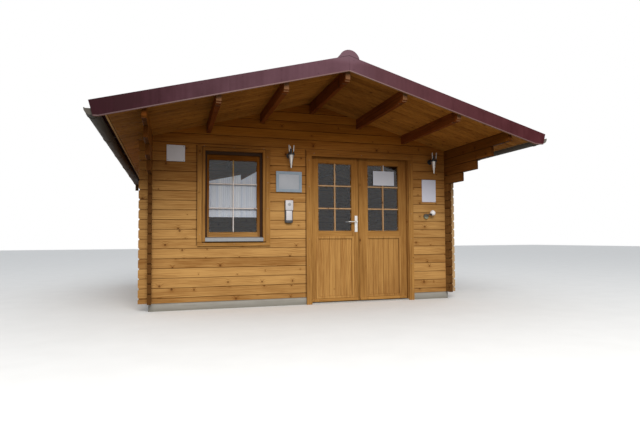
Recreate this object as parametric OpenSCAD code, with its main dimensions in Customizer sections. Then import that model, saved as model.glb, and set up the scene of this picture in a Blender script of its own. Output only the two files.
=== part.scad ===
// Timber log hut with a gabled porch roof, a double glazed door and one front window.
// X runs to the right along the front, Y runs into the hut and Z points up from the ground.
// The origin is on the ground, in the middle of the walls' footprint.

/* [Walls] */
// Width of the front and back walls, over the side walls' outer faces
hut_w = 4000; // [3800:10:4400]
// Depth of the side walls, over the front and back walls' outer faces
hut_d = 4000; // [3600:10:5000]
// Height of one log course
course = 116; // [115:1:117]
// Thickness of a log
log_t = 45; // [40:1:50]
// Depth of the chamfer along each edge of a log
chamfer = 5; // [3:0.5:7]
// How far the crossed log ends reach past the walls
log_end = 105; // [90:5:130]
// Height of the V-shaped notch across the logs' sawn ends at each joint
end_vee_h = 34; // [20:1:44]
// Depth of that notch
end_vee_d = 14; // [8:1:18]
// Height of the foundation beams under the walls
base_h = 95; // [90:1:100]
// Width of a foundation beam
beam_w = 60; // [50:1:70]

/* [Porch logs] */
// Reach of the first stepped-out course in front of the wall
step_1 = 414; // [300:1:450]
// Reach of the second stepped-out course
step_2 = 731; // [650:1:780]
// Reach of the third stepped-out course
step_3 = 1048; // [980:1:1100]
// Reach of the wall plates and purlins in front of the wall
plate_reach = 1375; // [1300:1:1380]
// Reach of the stepped-out course at the back
back_step = 210; // [150:1:260]
// Reach of the wall plates and purlins behind the back wall
back_reach = 375; // [320:1:378]
// Radius of the cove cut into the lower edge of a purlin's end
end_cove = 18; // [10:1:25]

/* [Roof] */
// Slope of the roof in degrees
pitch = 15.4; // [15:0.1:16]
// Thickness of the roof boards
board_t = 20; // [18:1:22]
// Width of one roof board
board_w = 96; // [90:1:120]
// Half the width of the roof boards
board_half = 2300; // [2250:1:2320]
// Height of a roof batten
batten_h = 36; // [30:1:38]
// Width of a roof batten
batten_w = 60; // [40:1:70]
// Half the width of the roof over the bargeboards' ends
barge_half = 2434; // [2400:1:2440]
// Slope of the left bargeboards in degrees, a little flatter than the roof
left_verge_pitch = 15; // [14.8:0.1:15.4]
// Upright height of a bargeboard
barge_h = 162; // [150:1:175]
// Height of the bargeboards' top above the roof boards' underside
barge_rise = 106; // [100:1:110]
// Thickness of a bargeboard
barge_t = 20; // [18:1:24]
// Length of one wave of the roof sheet
wave = 183; // [170:1:200]
// Height of a wave of the roof sheet
wave_h = 36; // [25:1:38]
// Radius of the ridge cap
cap_r = 111; // [100:1:115]
// Radius of a gutter
gutter_r = 57; // [50:1:60]
// Distance of a gutter's centre from the hut's middle
gutter_x = 2418; // [2412:1:2425]
// Height of a gutter's rim above the ground
gutter_z = 1998; // [1990:1:2000]

/* [Door] */
// Left edge of the left leaf
door_x0 = 0; // [-20:1:20]
// Width of the door opening between the jambs
door_w = 1378; // [1360:2:1400]
// Height of the door leaves' top above the ground
door_top = 1924; // [1900:1:1926]
// Thickness of a door leaf
leaf_t = 45; // [40:1:50]
// Width of the moulding round a door panel
moulding_w = 28; // [22:1:32]

/* [Window] */
// Left side of the window lining's outside
win_x0 = -1380; // [-1400:1:-1360]
// Right side of the window lining's outside
win_x1 = -610; // [-630:1:-600]
// Bottom of the window lining
win_z0 = 815; // [800:1:830]
// Top of the window lining
win_z1 = 1964; // [1960:1:1966]
// Thickness of the window lining
lining_t = 32; // [28:1:36]

/* [Hidden] */
$fn = 64;

pine = "peru";
pine_dark = "sienna";
metal_red = "brown";
grey = "gray";
far = 9000;
eps_gap = 0.5;
// Hairline gap between sloping faces that lie on each other
seat = 0.1;

half_w = hut_w / 2;
half_d = hut_d / 2;
front_y = -half_d;
side_courses = 17;
wall_top = base_h + side_courses * course;
gable_z = base_h + 15.5 * course;
neck = course / 2;
slope = tan(pitch);
function verge_slope(side) = tan(side < 0 ? left_verge_pitch : pitch);
// Underside of the roof boards, at the ridge and at any X
roof_z = wall_top + slope * (half_w - log_t / 2);
function under(x) = roof_z - slope * abs(x);
roof_front = front_y - 1420;
roof_back = half_d + 420;
skin = 3;
plate_y0 = front_y - plate_reach;
plate_y1 = half_d + back_reach;
boards_y0 = roof_front + skin + barge_t;
boards_y1 = roof_back - skin - barge_t;

purlin_w = 50;
purlin_places = [0, 650, 1310];
purlin_bottoms = [2467, 2306, 2140];

jamb_t = 40;
jamb_y1 = front_y + 100;
door_x1 = door_x0 + door_w;
door_cut_x0 = door_x0 - 5 - jamb_t;
door_cut_x1 = door_x1 + 5 + jamb_t;
door_cut_z = 1970;
leaf_z0 = 22;
leaf_y0 = front_y + 50;
leaf_y1 = leaf_y0 + leaf_t;
left_leaf_w = 664;
leaf_gap = 8;
right_leaf_x0 = door_x0 + left_leaf_w + leaf_gap;
right_leaf_w = door_w - left_leaf_w - leaf_gap;
hinge_r = 8;
hinge_y = jamb_y1 + hinge_r + 0.2;
flap_w = 30;
flap_t = 4;
hinge_zs = [230, 950, 1690];
hinge_len = 45;
glass_z0 = 942;
glass_z1 = 1842;
field_z0 = 92;
field_z1 = 845;
casing_w = 70;
casing_t = 20;
left_glass = [101, 570];
right_glass = [802, 1260];
handle_x = 630;
lever_z = 1068;

sash_y0 = front_y + 70;
sash_y1 = front_y + 115;
win_glass = [-1300, -698];
win_glass_z = [927, 1834];
sash_z0 = 871;

// Profile of a log wall between two heights, chamfered on both faces at each joint.
function wall_side(z0, z1, joints, s) = concat(
    [[s * log_t / 2, z0]],
    [for (z = joints) if (z > z0 + chamfer && z < z1 - chamfer)
        each [[s * log_t / 2, z - chamfer], [s * (log_t / 2 - chamfer), z], [s * log_t / 2, z + chamfer]]],
    [[s * log_t / 2, z1]]);
function reversed(list) = [for (i = [len(list) - 1:-1:0]) list[i]];
module wall_profile(z0, z1, joints) {
    polygon(concat(wall_side(z0, z1, joints, 1), reversed(wall_side(z0, z1, joints, -1))));
}
front_joints = [for (k = [0:25]) base_h + neck + course * k];
side_joints = [for (k = [1:side_courses - 1]) base_h + course * k];

// A stretch of wall along X whose middle lies at y.
module wall_x(x0, x1, z0, z1, y, joints) {
    translate([x0, y, 0]) rotate([90, 0, 90]) linear_extrude(x1 - x0) wall_profile(z0, z1, joints);
}
// A stretch of wall along Y whose middle lies at x.
module wall_y(y0, y1, z0, z1, x, joints) {
    translate([x, y1, 0]) rotate([90, 0, 0]) linear_extrude(y1 - y0) wall_profile(z0, z1, joints);
}
// What a front or back log gives up to the side logs' necks at both corners.
module side_necks(y) {
    for (s = [-1, 1], k = [0:side_courses - 1])
        translate([s * (half_w - log_t / 2) - log_t / 2, y - log_t, base_h + course * k + neck / 2])
            cube([log_t, 2 * log_t, k < side_courses - 1 ? neck : course]);
}
// What a side log gives up to the front and back logs' necks.
module front_necks(x) {
    for (s = [-1, 1], k = [0:side_courses - 1])
        translate([x - log_t, s * (half_d - log_t / 2) - log_t / 2, base_h + course * k - neck / 2])
            cube([2 * log_t, log_t, neck]);
}
// A notch across the sawn end of a wall's logs, with the end's face at X = 0, turned about Z.
module end_vee(turn) rotate([90, 0, turn]) translate([0, 0, -log_t]) linear_extrude(2 * log_t)
    polygon([[2, -end_vee_h / 2 - end_vee_h / end_vee_d], [-end_vee_d, 0],
        [2, end_vee_h / 2 + end_vee_h / end_vee_d]]);
module front_end_vees(y) for (s = [-1, 1], k = [0:15])
    translate([s * (half_w + log_end), y, front_joints[k]]) end_vee(s > 0 ? 0 : 180);
module side_end_vees(x) {
    for (k = [0:11]) translate([x, -half_d - log_end, side_joints[k]]) end_vee(-90);
    for (k = [0:13]) translate([x, half_d + log_end, side_joints[k]]) end_vee(90);
}
// Everything below the roof boards, as a block to intersect with.
module below_roof(y0, y1) {
    translate([0, y1, 0]) rotate([90, 0, 0]) linear_extrude(y1 - y0)
        polygon([[-3000, -10], [3000, -10], [3000, under(3000) - seat], [0, roof_z - seat],
            [-3000, under(3000) - seat]]);
}
// Places its children in the frame of one roof slope: x down the slope, z square to it.
module on_slope(side) {
    intersection() {
        mirror([side < 0 ? 1 : 0, 0, 0]) translate([0, 0, roof_z]) rotate([0, pitch, 0]) children();
        translate([side < 0 ? -far - eps_gap / 2 : eps_gap / 2, -far, 0]) cube([far, 2 * far, far]);
    }
}
function down(x) = x / cos(pitch);

// Foundation
module foundation_beams() color(grey) {
    y0 = half_d - 10 - beam_w;
    x0 = half_w - 10 - beam_w;
    for (s = [-1, 1]) translate([s > 0 ? x0 : -x0 - beam_w, -y0 + 1, 0]) cube([beam_w, 2 * y0 - 2, base_h]);
    translate([-x0 - beam_w, y0, 0]) cube([2 * (x0 + beam_w), beam_w, base_h]);
    translate([-x0 - beam_w, -y0 - beam_w, 0]) cube([x0 + beam_w + door_cut_x0, beam_w, base_h]);
    translate([door_cut_x1, -y0 - beam_w, 0]) cube([x0 + beam_w - door_cut_x1, beam_w, base_h]);
}
floor_t = 16;
module floor() color(pine) {
    inner = half_w - 10 - beam_w - 1;
    translate([-inner, -inner, 0]) cube([2 * inner, 2 * inner, floor_t]);
}

// Log walls
front_mid = front_y + log_t / 2;
module front_wall_left() color(pine) difference() {
    wall_x(-half_w - log_end, win_x0, base_h, gable_z, front_mid, front_joints);
    side_necks(front_mid);
    front_end_vees(front_mid);
}
module front_wall_under_window() color(pine)
    wall_x(win_x0, win_x1, base_h, win_z0, front_mid, front_joints);
module front_wall_middle() color(pine)
    wall_x(win_x1, door_cut_x0, base_h, gable_z, front_mid, front_joints);
module front_wall_right() color(pine) difference() {
    wall_x(door_cut_x1, half_w + log_end, base_h, gable_z, front_mid, front_joints);
    side_necks(front_mid);
    front_end_vees(front_mid);
}
module purlin_slots() {
    for (i = [0:2], s = i == 0 ? [1] : [-1, 1])
        translate([s * purlin_places[i] - purlin_w / 2, -far / 2, purlin_bottoms[i]])
            cube([purlin_w, far, 1000]);
}
// The top of an end wall: one crossed log, then logs cut off along the roof.
module gable(y) {
    difference() {
        union() {
            wall_x(-half_w - log_end, half_w + log_end, gable_z, gable_z + course, y, front_joints);
            intersection() {
                wall_x(-half_w + log_t, half_w - log_t, gable_z + course, roof_z, y, front_joints);
                below_roof(y - 100, y + 100);
            }
        }
        side_necks(y);
        front_end_vees(y);
        purlin_slots();
    }
}
module front_gable() color(pine) difference() {
    gable(front_mid);
    translate([win_x0, front_y - 50, gable_z - 10]) cube([win_x1 - win_x0, 200, win_z1 - gable_z + 10]);
    translate([door_cut_x0, front_y - 50, gable_z - 10])
        cube([door_cut_x1 - door_cut_x0, 200, door_cut_z - gable_z + 10]);
}
module back_wall() color(pine) difference() {
    wall_x(-half_w - log_end, half_w + log_end, base_h, gable_z, -front_mid, front_joints);
    side_necks(-front_mid);
    front_end_vees(-front_mid);
}
module back_gable() color(pine) gable(-front_mid);

// The side wall's courses 13, 14 and 15 step out to carry the porch roof.
module side_wall(x) difference() {
    union() {
        wall_y(-half_d - log_end, half_d + log_end, base_h, base_h + 13 * course, x, side_joints);
        for (i = [0:2])
            wall_y(front_y - [step_1, step_2, step_3][i], half_d + [log_end, log_end, back_step][i],
                base_h + (13 + i) * course, base_h + (14 + i) * course, x, []);
    }
    front_necks(x);
    side_end_vees(x);
    for (i = [0:3], s = [-1, 1]) course_groove(x, base_h + (13 + i) * course, s);
}
// A chamfered groove along a side wall's joint, on the side s.
module course_groove(x, z, s) {
    translate([x + s * log_t / 2, plate_y1 + 10, z]) rotate([90, 0, 0])
        linear_extrude(plate_y1 - plate_y0 + 20) polygon([[0, -chamfer], [0, chamfer], [-s * chamfer, 0]]);
}
side_x = half_w - log_t / 2;
module left_wall() color(pine) side_wall(-side_x);
module right_wall() color(pine) side_wall(side_x);
module wall_plate(x) {
    difference() {
        intersection() {
            translate([x - log_t / 2, plate_y0, base_h + (side_courses - 1) * course])
                cube([log_t, plate_y1 - plate_y0, course + 40]);
            below_roof(plate_y0 - 10, plate_y1 + 10);
        }
        front_necks(x);
        for (s = [-1, 1]) course_groove(x, base_h + (side_courses - 1) * course, s);
        end_cuts(x, base_h + (side_courses - 1) * course);
    }
}
module wall_plates() color(pine) for (s = [-1, 1]) wall_plate(s * side_x);

// Roof timbers
// A cove in the lower edge of a timber's ends, and a round groove behind it.
groove_r = 14;
groove_back = 95;
module end_cuts(x, z) for (s = [-1, 1], cut = [[0, end_cove], [groove_back, groove_r]])
    translate([x - purlin_w, s < 0 ? plate_y0 + cut[0] : plate_y1 - cut[0], z])
        rotate([0, 90, 0]) cylinder(r = cut[1], h = 2 * purlin_w);
module purlin(x, z) difference() {
    intersection() {
        translate([x - purlin_w / 2, plate_y0, z]) cube([purlin_w, plate_y1 - plate_y0, 400]);
        below_roof(plate_y0 - 10, plate_y1 + 10);
    }
    end_cuts(x, z);
}
module ridge_purlin() color(pine_dark) purlin(0, purlin_bottoms[0]);
module side_purlins() color(pine_dark)
    for (s = [-1, 1], i = [1, 2]) purlin(s * purlin_places[i], purlin_bottoms[i]);

// Roof boards run from ridge to eave, with a chamfered joint underneath between each two.
boards_n = floor((boards_y1 - boards_y0) / board_w);
module boards_profile() {
    groove = 4;
    polygon(concat([[boards_y0, 0]],
        [for (k = [1:boards_n]) let (y = boards_y0 + k * board_w) if (y < boards_y1 - groove)
            each [[y - groove, 0], [y, groove], [y + groove, 0]]],
        [[boards_y1, 0], [boards_y1, board_t], [boards_y0, board_t]]));
}
module roof_boards(side) on_slope(side)
    translate([-10, 0, 0]) rotate([90, 0, 90])
        linear_extrude(down(board_half) - board_t * slope + 10) boards_profile();
module roof_boards_left() color(pine) roof_boards(-1);
module roof_boards_right() color(pine) roof_boards(1);
batten_xs = [60, 410, 760, 1110, 1460, 1810, down(board_half) - batten_w - 20];
module roof_battens() color(pine) for (side = [-1, 1]) on_slope(side)
    for (x = batten_xs) translate([x, boards_y0, board_t]) cube([batten_w, boards_y1 - boards_y0, batten_h]);

// Wave-profiled steel sheet, with its ridges running down the slope.
sheet_t = 3;
sheet_z = board_t + batten_h;
sheet_y0 = boards_y0 + 1;
sheet_y1 = boards_y1 - 1;
wave_steps = 8;
waves_n = floor((sheet_y1 - sheet_y0) / wave * wave_steps);
function wave_z(k) = (wave_h - sheet_t) * (1 - cos(360 * k / wave_steps)) / 2;
wave_pitch = (sheet_y1 - sheet_y0) / waves_n;
module wave_profile() {
    polygon(concat([for (k = [0:waves_n]) [sheet_y0 + k * wave_pitch, wave_z(k)]],
        [for (k = [waves_n:-1:0]) [sheet_y0 + k * wave_pitch, wave_z(k) + sheet_t]]));
}
sheet_half = 2392;
module roof_sheet(side) on_slope(side)
    translate([25, 0, sheet_z]) rotate([90, 0, 90]) linear_extrude(down(sheet_half) - 25) wave_profile();
module roof_sheet_left() color(metal_red) roof_sheet(-1);
module roof_sheet_right() color(metal_red) roof_sheet(1);

// Half-round ridge cap with closed ends.
barge_top = roof_z + barge_rise;
cap_z = barge_top + 57 - cap_r;
cap_y0 = roof_front - 4;
cap_y1 = roof_back + 4;
module ridge_cap() color(metal_red) intersection() {
    difference() {
        translate([0, cap_y1, cap_z]) rotate([90, 0, 0]) cylinder(r = cap_r, h = cap_y1 - cap_y0, $fn = 96);
        translate([0, cap_y1 - skin, cap_z]) rotate([90, 0, 0])
            cylinder(r = cap_r - skin, h = cap_y1 - cap_y0 - 2 * skin, $fn = 96);
    }
    translate([0, cap_y1 + 10, 0]) rotate([90, 0, 0]) linear_extrude(cap_y1 - cap_y0 + 20)
        polygon([[0, barge_top + seat], [200, barge_top - 200 * slope + seat], [200, barge_top + 300],
            [-200, barge_top + 300], [-200, barge_top - 200 * verge_slope(-1) + seat]]);
}

// Bargeboards: the ends are cut square to the slope and their lower corners level.
barge_level = 1925;
module barge_outline(side, drop, flip = 1) {
    fall = verge_slope(side * flip);
    top = barge_top - drop;
    foot = top - barge_h + 2 * drop;
    x1 = barge_half - drop;
    z1 = top - fall * x1;
    x2 = x1 - (z1 - barge_level - drop) * fall;
    x3 = (foot - barge_level - drop) / fall;
    polygon([[side * eps_gap, top], [side * x1, z1], [side * x2, barge_level + drop],
        [side * x3, barge_level + drop], [side * eps_gap, foot]]);
}
module bargeboards() color(pine) for (side = [-1, 1], y = [roof_front + skin, roof_back - skin - barge_t])
    translate([0, y + barge_t, 0]) rotate([90, 0, 0]) linear_extrude(barge_t) barge_outline(side, skin);

// Sheet metal over each bargeboard: a face, and a flange folded back over the roof sheet.
flange = 70;
fold_side = 45;
module flashing_fold(side, depth, flip) {
    fold_low = barge_top - fold_side;
    linear_extrude(depth) difference() {
        barge_outline(side, 0, flip);
        barge_outline(side, skin, flip);
        polygon([[-far, 0], [far, 0], [far, fold_low - verge_slope(flip) * far], [0, fold_low],
            [-far, fold_low - verge_slope(-flip) * far]]);
    }
}
module flashing(y, flip) translate([0, y, 0]) rotate([90, 0, flip > 0 ? 0 : 180]) for (side = [-1, 1]) {
    linear_extrude(skin) barge_outline(side, 0, flip);
    translate([0, 0, -flange + skin]) flashing_fold(side, flange, flip);
}
module verge_flashing() color(metal_red) {
    flashing(roof_front + skin, 1);
    flashing(roof_back - skin, -1);
}

// Eaves
eave_t = 18;
eave_face = board_half + eave_t;
module eave_boards() color(pine) for (side = [-1, 1])
    translate([side > 0 ? board_half : -eave_face, boards_y0, under(board_half) - 2])
        cube([eave_t, boards_y1 - boards_y0, 50]);
gutter_t = 2.5;
gutter_y0 = boards_y0 + 2;
gutter_y1 = boards_y1 - 2;
outlet_r = 30;
outlet_len = 108;
bracket_ys = [for (i = [0:5]) gutter_y0 + 150 + i * (gutter_y1 - gutter_y0 - 300) / 5];
module half_ring(r1, r2, len) difference() {
    cylinder(r = r1, h = len);
    translate([0, 0, -1]) cylinder(r = r2, h = len + 2);
    translate([-r1 - 1, 0, -1]) cube([2 * r1 + 2, r1 + 1, len + 2]);
}
module gutter(side) {
    len = gutter_y1 - gutter_y0;
    reach = gutter_x - eave_face;
    rim = gutter_r - 1;
    translate([side * gutter_x, gutter_y1, gutter_z]) rotate([90, 0, 0]) difference() {
        union() {
            half_ring(gutter_r, gutter_r - gutter_t, len);
            for (z = [0, len - 2]) translate([0, 0, z]) half_ring(gutter_r, 1, 2);
            translate([0, -gutter_r - outlet_len + 3, outlet_r + 10]) rotate([-90, 0, 0])
                cylinder(r = outlet_r, h = outlet_len);
        }
        translate([0, -gutter_r - outlet_len, outlet_r + 10]) rotate([-90, 0, 0])
            cylinder(r = outlet_r - 2, h = outlet_len + 30);
    }
    for (y = bracket_ys) translate([side * gutter_x, y + 12, gutter_z]) rotate([90, 0, 0]) {
        half_ring(gutter_r + 4, gutter_r - 1, 24);
        linear_extrude(24) polygon([[-side * rim, 0], [-side * rim, 4], [-side * reach, 4],
            [-side * reach, -20], [-side * (reach - 4), -20], [-side * (reach - 4), 0]]);
    }
}
module gutter_left() color(grey) gutter(-1);
module gutter_right() color(grey) gutter(1);

// Door frame and casing
stop_w = 10;
stop_d = 44;
module door_frame() color(pine) {
    d = jamb_y1 - front_y;
    head_z = door_top + 6;
    in0 = door_cut_x0 + jamb_t;
    in1 = door_cut_x1 - jamb_t;
    post_h = head_z - 1 - floor_t;
    for (x = [door_cut_x0, in1]) translate([x, front_y, floor_t]) cube([jamb_t, d, post_h]);
    for (x = [in0 - 1, in1 - stop_w]) translate([x, front_y, floor_t]) cube([stop_w + 1, stop_d, post_h]);
    translate([door_cut_x0, front_y, head_z]) cube([door_cut_x1 - door_cut_x0, d, door_cut_z - head_z]);
}
module door_casing() color(pine) {
    y = front_y - casing_t;
    head = 1916;
    x0 = door_x0 - 5;
    x1 = door_x1 + 5;
    for (x = [x0 - casing_w, x1]) translate([x, y, 0]) cube([casing_w, casing_t, head - eps_gap]);
    translate([x0 - casing_w, y, head]) cube([x1 - x0 + 2 * casing_w, casing_t, casing_w]);
}
module threshold() color("silver")
    translate([door_cut_x0, front_y, 0]) cube([door_cut_x1 - door_cut_x0, 10 + beam_w, floor_t]);

// A leaf: stiles and rails round a glazed opening and a panelled one, with a weather bar at its foot.
bar_in = 12;
bar_profile = [[1, 26], [-16, 26], [-16, 40], [1, 58]];
module leaf(x0, w, glass_x) {
    difference() {
        translate([x0, leaf_y0, leaf_z0]) cube([w, leaf_t, door_top - leaf_z0]);
        leaf_cut(glass_x, glass_z0, glass_z1, 0);
        leaf_cut(glass_x, field_z0, field_z1, moulding_w);
    }
    translate([x0 + bar_in, leaf_y0, 0]) rotate([90, 0, 90]) linear_extrude(w - 2 * bar_in)
        polygon(bar_profile);
}
module leaf_cut(x, z0, z1, edge) translate([x[0] - edge, leaf_y0 - 1, z0 - edge])
    cube([x[1] - x[0] + 2 * edge, leaf_t + 2, z1 - z0 + 2 * edge]);
spindle_r = 5;
module spindle_hole(r) translate([handle_x, leaf_y1 + 60, lever_z]) rotate([90, 0, 0])
    cylinder(r = r, h = 160);
left_axis_x = door_x0 - 2.5;
right_axis_x = door_x1 + 2.5;
// Upper knuckles of a leaf's hinges, each on its flap.
link_w = 4;
module leaf_knuckles(x, side) color("silver") for (z = hinge_zs) translate([x, 0, z + hinge_len + eps_gap]) {
    translate([0, hinge_y, 0]) cylinder(r = hinge_r, h = hinge_len);
    translate([side > 0 ? -link_w / 2 : link_w / 2 - flap_w, leaf_y1, 0]) cube([flap_w, flap_t, hinge_len]);
    translate([-link_w / 2, leaf_y1, 0]) cube([link_w, hinge_y - leaf_y1, hinge_len]);
}
module leaf_hinges_left() leaf_knuckles(left_axis_x, 1);
module leaf_hinges_right() leaf_knuckles(right_axis_x, -1);
module door_leaf_left() color(pine) difference() {
    leaf(door_x0, left_leaf_w, left_glass);
    spindle_hole(spindle_r + 2);
}
module door_leaf_right() color(pine) leaf(right_leaf_x0, right_leaf_w, right_glass);

// Panel of upright boards in a raised moulding.
panel_board = 78;
panel_groove = 3;
panel_t = 18;
panel_in = 12;
moulding_out = 4;
module door_panel(x) {
    w = x[1] - x[0];
    n = round(w / panel_board);
    b = w / n;
    g = panel_groove;
    h = field_z1 - field_z0;
    m = moulding_w;
    translate([x[0], leaf_y0 + panel_in, field_z0 - m]) linear_extrude(h + 2 * m)
        polygon(concat([[-m, 0]], [for (k = [1:n - 1]) each [[k * b - g, 0], [k * b, g], [k * b + g, 0]]],
            [[w + m, 0], [w + m, panel_t], [-m, panel_t]]));
    translate([x[0], leaf_y0 - moulding_out, field_z0]) difference() {
        translate([-m, 0, -m]) cube([w + 2 * m, panel_in + moulding_out, h + 2 * m]);
        translate([0, -1, 0]) cube([w, panel_in + moulding_out + 2, h]);
    }
}
module door_panel_left() color(pine_dark) door_panel(left_glass);
module door_panel_right() color(pine_dark) door_panel(right_glass);
module door_glass(x) translate([x[0], leaf_y0 + 19, glass_z0]) cube([x[1] - x[0], 6, glass_z1 - glass_z0]);
module door_glass_left() color("lightblue") door_glass(left_glass);
module door_glass_right() color("lightblue") door_glass(right_glass);

// Long plates on both faces of the left leaf, and the lever pair on one spindle.
plate_z0 = 933;
plate_h = 215;
module door_handle_plates() color("silver") difference() {
    for (y = [leaf_y0 - 6, leaf_y1]) translate([handle_x - 19, y, plate_z0]) cube([38, 6, plate_h]);
    spindle_hole(spindle_r + 1);
}
lever_len = 115;
module lever_arm(y, s) {
    translate([handle_x, s > 0 ? y + 42 : y, lever_z]) rotate([90, 0, 0]) cylinder(r = 9, h = 42);
    translate([handle_x, y + s * 34, lever_z]) rotate([0, -90, 0]) cylinder(r = 8, h = lever_len);
    translate([handle_x - lever_len, y + s * 34, lever_z]) sphere(r = 8);
}
module door_lever() color("silver") {
    translate([handle_x, leaf_y1 + 15, lever_z]) rotate([90, 0, 0]) cylinder(r = spindle_r, h = leaf_t + 30);
    lever_arm(leaf_y0 - 7, -1);
    lever_arm(leaf_y1 + 7, 1);
}
// Lower knuckles of the hinges, on the jambs.
module frame_hinges() color("silver") for (s = [-1, 1], z = hinge_zs)
    translate([s < 0 ? left_axis_x : right_axis_x, hinge_y, z]) {
        cylinder(r = hinge_r, h = hinge_len);
        translate([s < 0 ? -flap_w : 0, jamb_y1 - hinge_y, 0]) cube([flap_w, flap_t, hinge_len]);
    }

// Window
module frame_box(x0, x1, z0, z1, y0, y1, w) translate([x0, y0, z0]) difference() {
    cube([x1 - x0, y1 - y0, z1 - z0]);
    translate([w, -1, w]) cube([x1 - x0 - 2 * w, y1 - y0 + 2, z1 - z0 - 2 * w]);
}
lining_y0 = front_y - casing_t - 6;
module window_lining() color(pine)
    frame_box(win_x0, win_x1, win_z0, win_z1, lining_y0, sash_y1, lining_t);
module window_casing() color(pine) {
    w = 60;
    y = front_y - casing_t;
    sill = win_z0;
    translate([win_x0 - w, y, sill]) cube([w - eps_gap, casing_t, win_z1 - sill - eps_gap]);
    translate([win_x1 + eps_gap, y, sill]) cube([w - eps_gap, casing_t, win_z1 - sill - eps_gap]);
    translate([win_x0 - w, y, win_z1 + eps_gap]) cube([win_x1 - win_x0 + 2 * w, casing_t, 28]);
    translate([win_x0 - w, y, sill - 55]) cube([win_x1 - win_x0 + 2 * w, casing_t, 54]);
}
// Stop strips in front of the sash, at both sides and along the top.
win_stop_w = 26;
win_stop_h = 36;
win_stop_d = 30;
module window_stop() color(pine_dark) difference() {
    w = win_x1 - win_x0 - 2 * lining_t;
    h = win_z1 - lining_t - sash_z0;
    translate([win_x0 + lining_t, sash_y0 - win_stop_d, sash_z0]) cube([w, win_stop_d - eps_gap, h]);
    translate([win_x0 + lining_t + win_stop_w, sash_y0 - win_stop_d - 1, sash_z0 - 1])
        cube([w - 2 * win_stop_w, win_stop_d + 2, h - win_stop_h + 1]);
}
module window_sash() color(pine) difference() {
    translate([win_x0 + lining_t, sash_y0, sash_z0])
        cube([win_x1 - win_x0 - 2 * lining_t, sash_y1 - sash_y0, win_z1 - lining_t - sash_z0]);
    translate([win_glass[0], sash_y0 - 1, win_glass_z[0]])
        cube([win_glass[1] - win_glass[0], 60, win_glass_z[1] - win_glass_z[0]]);
}
module window_glass() color("lightblue") translate([win_glass[0], sash_y0 + 19, win_glass_z[0]])
    cube([win_glass[1] - win_glass[0], 6, win_glass_z[1] - win_glass_z[0]]);
module window_sill() color(grey) translate([win_x0 + lining_t, 0, 0])
    rotate([90, 0, 90]) linear_extrude(win_x1 - win_x0 - 2 * lining_t)
        polygon([[sash_y1, win_z0 + lining_t], [sash_y1, sash_z0], [sash_y0 - 2, sash_z0],
            [front_y - 45, sash_z0 - 12], [front_y - 45, win_z0 + 2], [front_y - 42, win_z0 + 2],
            [front_y - 42, sash_z0 - 17], [lining_y0 - 1, sash_z0 - 15],
            [lining_y0 - 1, win_z0 + lining_t]]);
// Two short net panels side by side, each with its top edge pinned higher on the right.
curtain_t = 6;
curtain_low = 1120;
curtain_split = -890;
curtain_tops = [1566, 1656, 1594, 1712];
module window_curtain() color("whitesmoke") translate([0, sash_y1 + curtain_t, 0]) rotate([90, 0, 0])
    linear_extrude(curtain_t) polygon([[win_glass[0] - 10, curtain_low], [win_glass[1] + 10, curtain_low],
        [win_glass[1] + 10, curtain_tops[3]], [curtain_split, curtain_tops[2]],
        [curtain_split - 20, curtain_tops[1]], [win_glass[0] - 10, curtain_tops[0]]]);

// Fittings on the front wall
// A torch-shaped lamp: a wall plate and arm, a cone hung point down in a collar, and three prongs.
lamp_out = 115;
cone_low = 1742;
cone_high = 1900;
collar_h = 16;
prong_top = 2020;
module wall_lamp(x) {
    translate([x, front_y, cone_high + collar_h / 2]) rotate([90, 0, 0]) {
        cylinder(r = 36, h = 10);
        cylinder(r = 7, h = lamp_out);
    }
    translate([x, front_y - lamp_out, 0]) {
        translate([0, 0, cone_low]) sphere(r = 9);
        translate([0, 0, cone_low]) cylinder(r1 = 9, r2 = 34, h = cone_high - cone_low);
        translate([0, 0, cone_high]) cylinder(r = 44, h = collar_h);
        translate([0, 0, cone_high + collar_h]) cylinder(r = 13, h = 60);
        for (turn = [90, 210, 330]) rotate([0, 0, turn]) translate([29, 0, cone_high + collar_h / 2])
            rotate([0, 4, 0]) cylinder(r = 7, h = prong_top - cone_high - collar_h / 2);
    }
}
module wall_lamps() color("dimgray") for (x = [-300, 1725]) wall_lamp(x);
module plate_on_wall(x0, x1, z0, z1, t) translate([x0, front_y - t, z0]) cube([x1 - x0, t, z1 - z0]);
module notice_plate() color("white") plate_on_wall(-1796, -1586, 1780, 1974, 6);
// A board in a raised frame.
board = [-472, -138, 1441, 1703];
board_edge = 34;
module framed_board() color("slategray") difference() {
    plate_on_wall(board[0], board[1], board[2], board[3], 20);
    translate([0, -13, 0]) plate_on_wall(board[0] + board_edge, board[1] - board_edge, board[2] + board_edge,
        board[3] - board_edge, 20);
}
module notice_sheet() color("white") plate_on_wall(1598, 1814, 1348, 1658, 3);
// A wall handset: a wide upper housing over a narrower lower one.
module intercom() color("white") {
    plate_on_wall(-363, -259, 1201, 1334, 58);
    plate_on_wall(-351, -271, 1046, 1202, 46);
}
// A round sensor on an arm from a small base plate.
sensor_base = [1650, front_y, 1146];
sensor_arm = [72, -72, 45];
module sensor() color("white") translate(sensor_base) {
    rotate([90, 0, 0]) cylinder(r = 34, h = 26);
    rotate([0, acos(sensor_arm[2] / norm(sensor_arm)), atan2(sensor_arm[1], sensor_arm[0])])
        translate([0, 0, 15]) cylinder(r = 9, h = norm(sensor_arm) - 15);
    translate(sensor_arm) sphere(r = 38);
}

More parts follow.
